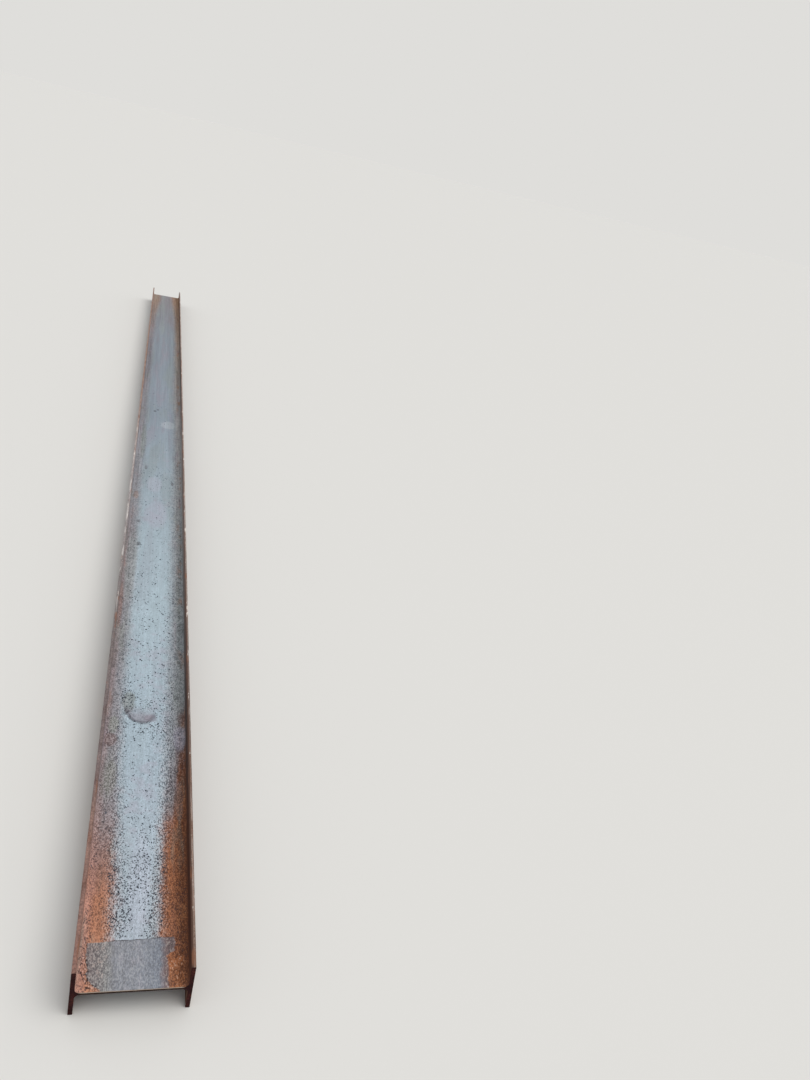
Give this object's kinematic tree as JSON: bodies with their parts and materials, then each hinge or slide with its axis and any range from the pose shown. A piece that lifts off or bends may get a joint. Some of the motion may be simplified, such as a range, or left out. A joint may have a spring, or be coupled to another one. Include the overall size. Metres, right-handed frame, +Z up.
{
  "type": "steel i-beam",
  "caption": "Hot-rolled steel i-beam with a thin web, parallel flanges, rounded roots and square-cut ends, lying on its flange toes; carries floors, roofs and frames in bending.",
  "frame": {"origin": "middle of the rectangle the beam covers on the floor, level with the lower flange toes", "axes": "+X along the beam's length, +Y across the depth of the section from flange to flange, +Z up, square to the web"},
  "size_m": [6, 0.2, 0.1],
  "materials": {
    "hot_rolled_steel": "blue-grey mill scale weathered to rust-brown at the flanges and ends"
  },
  "bodies": {
    "root": {"i_beam": "hot_rolled_steel"}
  },
  "joints": []
}
